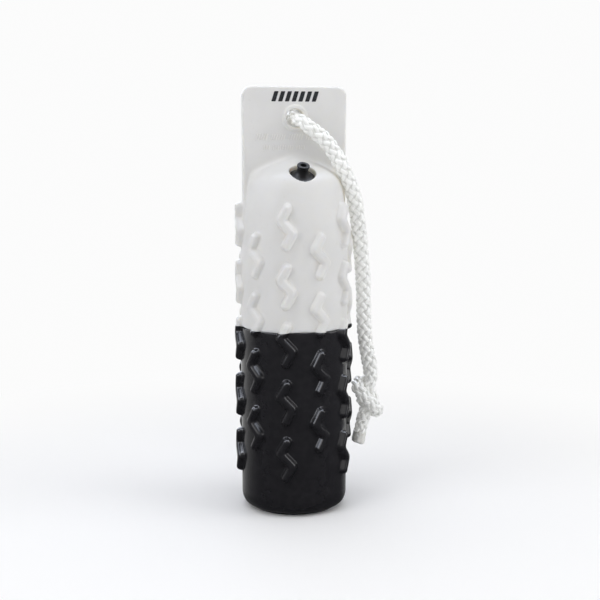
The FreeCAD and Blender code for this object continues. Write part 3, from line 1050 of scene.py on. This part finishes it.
def melted_cord():
    mat, tree, shader = material("melted_cord", (0.74, 0.735, 0.70), 0.3, 0.5)
    where = coords(tree)
    big = noise(tree, where, scale=260.0, detail=4.0, rough=0.6)
    fine = noise(tree, where, scale=900.0, rough=0.6)
    colour = mix_color(tree, remap(tree, big, span=(0.35, 0.7)),
                       low=(0.80, 0.80, 0.775), high=(0.66, 0.65, 0.60))
    rough = remap(tree, fine, span=(0.3, 0.7), to=(0.22, 0.45))
    subsurface(shader, weight=0.3, radius=(1.0, 0.95, 0.8), scale=0.0015)
    relief = bump(tree, big, strength=0.35, dist=0.0004)
    relief = bump(tree, fine, strength=0.3, dist=0.0001, under=relief)
    feed(shader, {"Base Color": colour, "Roughness": rough, "Normal": relief})
    return mat


M_WHITE, M_BLACK, M_RUBBER = white_vinyl(), black_vinyl(), valve_rubber()
M_INK, M_ROPE, M_MELT = print_ink(), rope_cord(), melted_cord()

# ---------------------------------------------------------------- body and dipped coat
# hidden inner walls, from the seam down: radius, z
WHITE_INSIDE = [
    (37.0, 135.2), (37.0, 120.0), (36.8, 90.0), (36.7, 60.0), (36.5, 30.0), (36.3, 12.0),
    (34.0, 6.0), (31.0, 2.6), (28.0, 1.2), (15.0, 1.0),
]
BLACK_INSIDE = [
    (37.6, 133.0), (37.55, 120.0), (37.5, 90.0), (37.4, 60.0), (37.3, 30.0), (37.2, 11.0),
    (35.5, 5.2), (32.0, 2.2), (30.0, 0.7), (15.0, 0.55),
]
white_body = new_object("white_body", *close_inside(*white_shell, WHITE_INSIDE), M_WHITE)
tidy(white_body, weld=0.004)
black_coat = new_object("black_dipped_coat", *close_inside(*black_shell, BLACK_INSIDE), M_BLACK)
tidy(black_coat, weld=0.004)
for ob, node, slot in ((white_body, "body_shell", "white_vinyl"),
                       (black_coat, "dipped_coat", "black_vinyl")):
    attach(ob, "bumper")
    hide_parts(node)

# ---------------------------------------------------------------- valve
VALVE_FACE = -2.6                   # the seat's face along the valve axis
# turned profiles: radius, distance past the face along the axis, corner radius
SEAT = [
    (3.2, -1.68, 0.2), (9.2, -1.68, 0.25), (9.25, -0.75, 0.5), (8.9, -0.15, 0.6),
    (7.9, 0.25, 0.6), (6.7, 0.75, 0.6), (5.6, 1.7, 0.6), (4.6, 3.1, 0.6), (4.05, 4.7, 0.5),
    (3.85, 7.2, 0.3), (2.2, 7.2, 0.2), (2.2, -11, 0.3), (3.2, -11, 0.3),
]
PLUG = [
    (0.9, 5.6, 0.5), (1.6, 6.2, 0.4), (2.2, 8.95, 0.35), (3.95, 9.05, 0.5), (4.5, 8.5, 0.35),
    (4.45, 7.5, 0.3), (3.95, 6.95, 0.2), (2.15, 6.95, 0.2), (2.15, -11.05, 0.4),
    (4.2, -11.3, 0.6), (5.6, -13, 1.0), (4.4, -16.5, 1.2), (2.4, -18, 0.6), (0.9, -18, 0.4),
]


def turned_rubber(name, table):
    """Closed profile turned about the tilted valve axis."""
    segments = 96
    profile = rounded([(r, VALVE_FACE + t, corner) for r, t, corner in table], 5)
    side = np.array([1.0, 0, 0])
    verts = []
    for k in range(segments):
        a = 2 * math.pi * k / segments
        outward = side * math.cos(a) + VALVE_CROSS * math.sin(a)
        verts += [VALVE_CENTRE + VALVE_AXIS * t + outward * r for r, t in profile]
    rows = index_rows(segments, len(profile))
    ob = new_object(name, verts, bands(rows + rows[:1], flip=True), M_RUBBER)
    tidy(ob, weld=0.001)
    return ob


valve_seat = turned_rubber("valve_seat_rubber", SEAT)
valve_plug = turned_rubber("valve_plug_rubber", PLUG)
for ob, node in ((valve_seat, "valve_seat"), (valve_plug, "valve_plug")):
    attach(ob, "bumper")
    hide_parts(node)

# ---------------------------------------------------------------- printed bars and raised ribs
PLATE_BACK_Y = -2.7                 # plates start just inside the tab's front face


def plate(outline, front_y, edge):
    """Closed plate from an (x, z) outline, its front edge set in by `edge`."""
    n = len(outline)
    P = np.array(outline)
    c = np.mean(outline, axis=0)
    d = np.roll(P, -1, axis=0) - np.roll(P, 1, axis=0)
    out = np.stack([d[:, 1], -d[:, 0]], 1)
    out /= np.maximum(np.linalg.norm(out, axis=1), 1e-9)[:, None]
    if ((P - c) * out).sum() < 0:
        out = -out
    verts = []
    for loop, y in ((P, PLATE_BACK_Y), (P - out * edge * 0.25, (PLATE_BACK_Y + 2 * front_y) / 3),
                    (P - out * edge, front_y)):
        verts += [(x, y, z) for x, z in loop]
    verts += [(c[0], front_y, c[1]), (c[0], PLATE_BACK_Y, c[1])]
    rows = index_rows(3, n)
    faces = bands(rows)
    for i in range(n):
        j = (i + 1) % n
        faces += [[rows[2][i], rows[2][j], 3 * n], [j, i, 3 * n + 1]]
    return verts, faces


def slanted(x, z, width, height, slant, corner):
    """Rounded upright bar centred on (x, z), leaning right by slant times its height."""
    w, h, lean = width / 2, height / 2, slant * height / 2
    points = [(x - w - lean, z - h), (x + w - lean, z - h),
              (x + w + lean, z + h), (x - w + lean, z + h)]
    return rounded([(*p, corner) for p in points], 4)


def plates(name, outlines, front_y, edge, mat):
    verts, faces = join([plate(outline, front_y, edge) for outline in outlines])
    ob = new_object(name, verts, faces, mat, smooth=False)
    tidy(ob)
    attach(ob, "bumper")
    return ob


def rib_row(x, z, groups, pitch, gap, width, slant, corner):
    """Groups of ribs from x to the right; each group is (ribs, height, shift in z)."""
    ribs = []
    for count, height, dz in groups:
        for _ in range(count):
            ribs.append(slanted(x, z + dz, width, height, slant, corner))
            x += pitch
        x += gap
    return ribs


def glowing_rib_white():
    """Thin ribs glow a little: painted light that makes them read a little lighter."""
    mat = M_WHITE.copy()
    mat.name = "white_vinyl_glowing"
    feed(mat.node_tree.nodes["Principled BSDF"], {
        "Emission Color": (1.0, 1.0, 0.99), "Emission Strength": 0.06})
    return mat


marks = [slanted(-14.6 + 4.9 * i, 297.9, width=3.1, height=7.2, slant=0.32, corner=0.5)
         for i in range(7)]
tab_print = plates("tab_printed_bars", marks, front_y=-2.87, edge=0.03, mat=M_INK)
ribs = rib_row(-28.0, 269.4, [(5, 4.6, 0.0), (6, 3.8, -0.2), (6, 4.2, 0.0), (5, 4.4, 0.1)],
               pitch=1.85, gap=1.7, width=0.75, slant=0.28, corner=0.3)
ribs += rib_row(-22.5, 262.0, [(3, 3.0, 0.0), (9, 3.2, 0.0), (4, 3.0, 0.0)],
                pitch=1.75, gap=1.4, width=0.65, slant=0.12, corner=0.28)
tab_ribs = plates("tab_raised_ribs", ribs, front_y=-3.2, edge=0.2, mat=glowing_rib_white())


# ---------------------------------------------------------------- rope in pieces
def rope_piece(name, start, end):
    """The rope between two distances along it, capped, with the whole rope's normals."""
    first = max(0, int(round(start / RING_STEP)))
    last = min(N_RING - 1, int(round(end / RING_STEP)))
    chosen = (rope_ring >= first) & (rope_ring < last)
    quads, uv = rope_faces[chosen], rope_uv[chosen]
    verts, faces, number = compact(rope_verts, quads)
    normals = [rope_normals[quads.ravel()]]
    for tube in range(N_STRANDS + 1):
        for ring, way in ((first, -1), (last, 1)):
            base = (tube * N_RING + ring) * SECTION
            faces.append(number[base:base + SECTION][::way].tolist())
            normals.append(np.tile(tangent[ring] * way, (SECTION, 1)))
    mesh = bpy.data.meshes.new(name)
    mesh.from_pydata([tuple(p) for p in verts * MM], [], faces)
    mesh.materials.append(M_ROPE)
    mesh.polygons.foreach_set("use_smooth", [True] * len(mesh.polygons))
    layer = mesh.uv_layers.new(name="braid")
    flat = np.zeros((len(mesh.loops), 2), np.float32)
    flat[:len(quads) * 4] = uv.reshape(-1, 2)
    layer.data.foreach_set("uv", flat.ravel())
    mesh.update()
    mesh.normals_split_custom_set(np.vstack(normals).tolist())
    ob = bpy.data.objects.new(name, mesh)
    bpy.context.scene.collection.objects.link(ob)
    return ob


def build_hanging_rope():
    """Stopper knot, nine lengths of braid split between the joints, end knot and tail."""
    split = along_near(np.array([0, 10.6, HOLE_Z]), 60, joint_s[0])
    stopper = rope_piece("rope_stopper_knot", 0, split)
    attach(stopper, "rope_neck")
    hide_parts("stopper_knot", "rope_back_end")
    links = ["rope_neck"] + [f"rope_link_{k:02d}" for k in range(1, 10)]
    for k in range(9):
        middle = (joint_s[k] + joint_s[k + 1]) / 2
        ob = rope_piece(f"rope_braid_{k + 1:02d}", split, middle)
        split = middle
        if k == 0:
            replaced = links[:2]
        else:
            replaced = [links[k + 1]]
        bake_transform(ob)
        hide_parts(*replaced)
    knot = rope_piece("rope_end_knot", split, knot_end)
    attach(knot, "rope_link_09")
    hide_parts("end_knot")
    tail = rope_piece("rope_tail_braid", knot_end, along[-1])
    tail_s = along_near(TAIL_TOP, knot_end - 4)
    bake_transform(tail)
    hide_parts("rope_tail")


build_hanging_rope()


# ---------------------------------------------------------------- melted ends of the cord
def melted_radius(a, z, r, radius, length, amp):
    """Outline radius with broad waves, the fading weave and the strands' ridges."""
    wobble = (0.018 * amp[0, 0] * math.sin(2 * a + amp[0, 1])
              + 0.022 * amp[1, 0] * math.sin(3 * a + amp[1, 1] + z * 0.5)
              + 0.014 * amp[2, 0] * math.sin(6 * a + amp[2, 1] + z)
              + 0.012 * math.sin(12 * a + z * 1.9))
    weave = max(0.0, min(1.0, (0.6 - z / length) - 0.35))
    return (r * (1 + wobble)
            + radius * 0.05 * weave * math.cos(10 * a + 1.1 * math.sin(z * 0.8) + amp[4, 1])
            * (0.6 + 0.4 * math.cos(z * 1.6 + 5 * a))
            + radius * 0.018 * math.cos(10 * a + amp[4, 1]) * (1 - weave) * (r / radius))


def melted_end(name, ring, way, seed, length, radius):
    """Lumpy cap over a rope end; way is 1 at the tail and -1 at the back end."""
    segments = 48
    amp = np.random.default_rng(seed).normal(0, 1, (6, 3))
    # share of the radius, distance past the rope's end
    profile = [(0.80, -length), (0.93, -length + 0.3), (0.985, -length + 1.2),
               (0.99, -length * 0.6), (1.02, -length * 0.25), (1.0, 0.2), (0.93, 1.0),
               (0.78, 1.6), (0.52, 1.95), (0.12, 2.05)]
    line = spline([(radius * share, z, 0) for share, z in profile], (1, 0.6, 0), (-1, 0.05, 0), 3)
    c, t = centre[ring], tangent[ring] * way
    verts = []
    for r, z, _ in line:
        for k in range(segments):
            a = 2 * math.pi * k / segments
            rr = melted_radius(a, z, r, radius, length, amp)
            # the end face is cut askew
            slope = (ease((z + 2.5) / 2.5) * (r / radius)
                     * (0.85 * math.sin(a + amp[5, 1]) + 0.25 * math.sin(3 * a + amp[3, 1])))
            outward = normal[ring] * math.cos(a) + binormal[ring] * math.sin(a)
            verts.append(c + outward * rr + t * (z + slope))
    verts += [c + t * 2.06, c - t * length]
    rows = index_rows(len(line), segments)
    faces = bands(rows)
    for k in range(segments):
        j = (k + 1) % segments
        faces += [[rows[-1][k], rows[-1][j], len(verts) - 2], [j, k, len(verts) - 1]]
    ob = new_object(name, verts, faces, M_MELT)
    tidy(ob, weld=0.0005)
    return ob


tip = melted_end("rope_tip_melted", N_RING - 1, way=1, seed=11, length=7.6, radius=4.95)
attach(tip, "rope_tail")
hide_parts("rope_tip")
back_tip = melted_end("rope_back_tip_melted", 0, way=-1, seed=12, length=6.0, radius=5.5)
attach(back_tip, "rope_neck")

# ---------------------------------------------------------------- floor
BACKDROP = (0.97, 0.97, 0.97)       # the even tone the camera sees behind everything


def pale_floor():
    mat, tree, shader = material("pale_floor", (0.96, 0.96, 0.96), 0.75, 0.15)
    mottle = noise(tree, coords(tree), scale=14.0)
    feed(shader, {"Base Color": mix_color(tree, mottle, low=(0.955, 0.955, 0.955),
                                          high=(0.97, 0.97, 0.97))})
    # away from the object the camera sees the floor fade into the backdrop
    glow = add_node(tree, "Emission", {0: BACKDROP})
    x, y = add_node(tree, "SeparateXYZ", {0: coords(tree)}).outputs[:2]
    square = compute(tree, "ADD", compute(tree, "MULTIPLY", x, x),
                     compute(tree, "MULTIPLY", y, y))
    fade = remap(tree, compute(tree, "SQRT", square), span=(0.04, 0.48))
    fade.node.interpolation_type = "SMOOTHSTEP"
    camera_ray = add_node(tree, "LightPath").outputs["Is Camera Ray"]
    blend = add_node(tree, "MixShader", {0: compute(tree, "MULTIPLY", fade, camera_ray),
                                         1: shader.outputs[0], 2: glow.outputs[0]})
    feed(tree.nodes["Material Output"], {0: blend.outputs[0]})
    return mat


def build_floor():
    segments = 96
    radii = [120, 300, 600, 1200, 2400, 4000]
    verts = [(0, 0, 0)]
    for r in radii:
        for k in range(segments):
            a = 2 * math.pi * k / segments
            verts.append((r * math.cos(a), r * math.sin(a), 0))
    faces = [[0, 1 + k, 1 + (k + 1) % segments] for k in range(segments)]
    faces += bands(index_rows(len(radii), segments, 1), flip=True)
    floor = new_object("floor", verts, faces, pale_floor())
    floor.visible_glossy = False


build_floor()


# ---------------------------------------------------------------- world
def build_world():
    world = bpy.data.worlds.new("studio")
    bpy.context.scene.world = world
    world.use_nodes = True
    tree = world.node_tree
    tree.nodes.clear()
    output = add_node(tree, "OutputWorld")
    rays = add_node(tree, "LightPath").outputs
    direction = add_node(tree, "TexCoord").outputs["Generated"]
    x, y, z = add_node(tree, "SeparateXYZ", {0: direction}).outputs

    def surroundings(factor, low, high):
        # dimmer below the horizon
        level = remap(tree, z, span=(-0.36, -0.14), to=(0.15, 1.0))
        return add_node(tree, "Background", {
            0: mix_color(tree, factor, low, high),
            1: compute(tree, "MULTIPLY", level, 0.8)}).outputs[0]

    # brighter behind the object than in front of it
    diffuse = surroundings(remap(tree, y, span=(-0.35, 0.35)),
                           low=(0.19, 0.19, 0.21), high=(0.74, 0.74, 0.75))
    # reflections see a bright backdrop only straight behind the object
    behind = compute(tree, "MULTIPLY_ADD", x, -0.12, compute(tree, "MULTIPLY", y, 0.99))
    glossy = surroundings(remap(tree, behind, span=(0.26, 0.92)),
                          low=(0.215, 0.215, 0.238), high=(1.3, 1.3, 1.3))
    lit = add_node(tree, "MixShader", {0: rays["Is Glossy Ray"], 1: diffuse, 2: glossy})
    seen = add_node(tree, "Background", {0: BACKDROP})
    final = add_node(tree, "MixShader", {0: rays["Is Camera Ray"], 1: lit.outputs[0],
                                         2: seen.outputs[0]})
    feed(output, {0: final.outputs[0]})


build_world()

# ---------------------------------------------------------------- lights
# name, place and target in metres, width and height in metres, watts, colour
SOFTBOXES = [
    ("front_softbox", (-0.15, -1.25, 1.05), (0, 0, 0.15), (1.2, 0.8), 3.2, (1.0, 0.995, 0.985)),
    ("left_softbox", (-1.15, -0.60, 0.80), (0, 0, 0.14), (0.9, 1.0), 7.2, (1.0, 1.0, 1.0)),
    ("right_softbox", (1.20, -0.62, 0.70), (0, 0, 0.13), (0.9, 1.0), 7.2, (1.0, 1.0, 1.0)),
    ("overhead_softbox", (0.0, -0.20, 1.30), (0, 0, 0.1), (0.9, 0.6), 3.6, (0.95, 0.975, 1.0)),
]
LOW_FILL = ("low_right_fill", (0.75, -0.75, 0.22), (0.03, -0.03, 0.12), (0.5, 0.4), 1.0,
            (1.0, 1.0, 1.0))
# lights that show only in reflections
BLUISH, PALE_BLUE = (0.80, 0.86, 1.0), (0.88, 0.92, 1.0)
REFLECTORS = [
    ("overhead_reflector", (0.25, 0.12, 1.25), (0.25, 0.12, 0), (1.8, 1.5), 40.0, BLUISH),
    ("back_reflector", (-0.35, 1.35, 1.0), (0, 0, 0.15), (1.7, 1.3), 34.0, BLUISH),
    ("left_reflector", (-1.25, -0.10, 0.85), (0, 0, 0.15), (0.7, 0.8), 9.0, BLUISH),
    ("left_glint", (-0.62, -0.50, 1.20), (0, 0, 0.15), (0.22, 0.22), 2.2, PALE_BLUE),
    ("right_glint", (0.66, -0.42, 1.20), (0, 0, 0.15), (0.22, 0.22), 2.2, PALE_BLUE),
]


def softbox(name, place, target, size, watts, colour):
    light = bpy.data.lights.new(name, "AREA")
    light.shape = "RECTANGLE"
    light.size, light.size_y = size
    light.energy = watts
    light.color = colour
    ob = bpy.data.objects.new(name, light)
    bpy.context.scene.collection.objects.link(ob)
    ob.location = place
    ob.rotation_mode = "QUATERNION"
    ob.rotation_quaternion = (Vector(target) - Vector(place)).to_track_quat("-Z", "Y")
    ob.visible_camera = False
    return ob


for row in SOFTBOXES:
    softbox(*row)
softbox(*LOW_FILL).visible_glossy = False
for row in REFLECTORS:
    reflector = softbox(*row)
    reflector.visible_diffuse = False
    reflector.visible_transmission = False
    reflector.visible_volume_scatter = False


# ---------------------------------------------------------------- camera
def build_camera():
    elevation, roll = math.radians(7.865), math.radians(0.044)
    data = bpy.data.cameras.new("camera")
    data.sensor_width = 36.0
    data.lens = 70.09
    data.clip_start, data.clip_end = 0.02, 50.0
    camera = bpy.data.objects.new("camera", data)
    bpy.context.scene.collection.objects.link(camera)
    camera.location = Vector((-199.527, -818.020, 268.285)) * MM
    back = Vector((math.sin(CAMERA_AZIMUTH) * math.cos(elevation),
                   -math.cos(CAMERA_AZIMUTH) * math.cos(elevation), math.sin(elevation)))
    level = Vector(RIGHT)
    right = level * math.cos(roll) + back.cross(level) * math.sin(roll)
    axes = Matrix((right, back.cross(right), back)).transposed()
    camera.rotation_mode = "QUATERNION"
    camera.rotation_quaternion = axes.to_quaternion()
    bpy.context.scene.camera = camera


build_camera()
bpy.context.scene.view_settings.view_transform = "Standard"
bpy.context.scene.view_settings.look = "None"
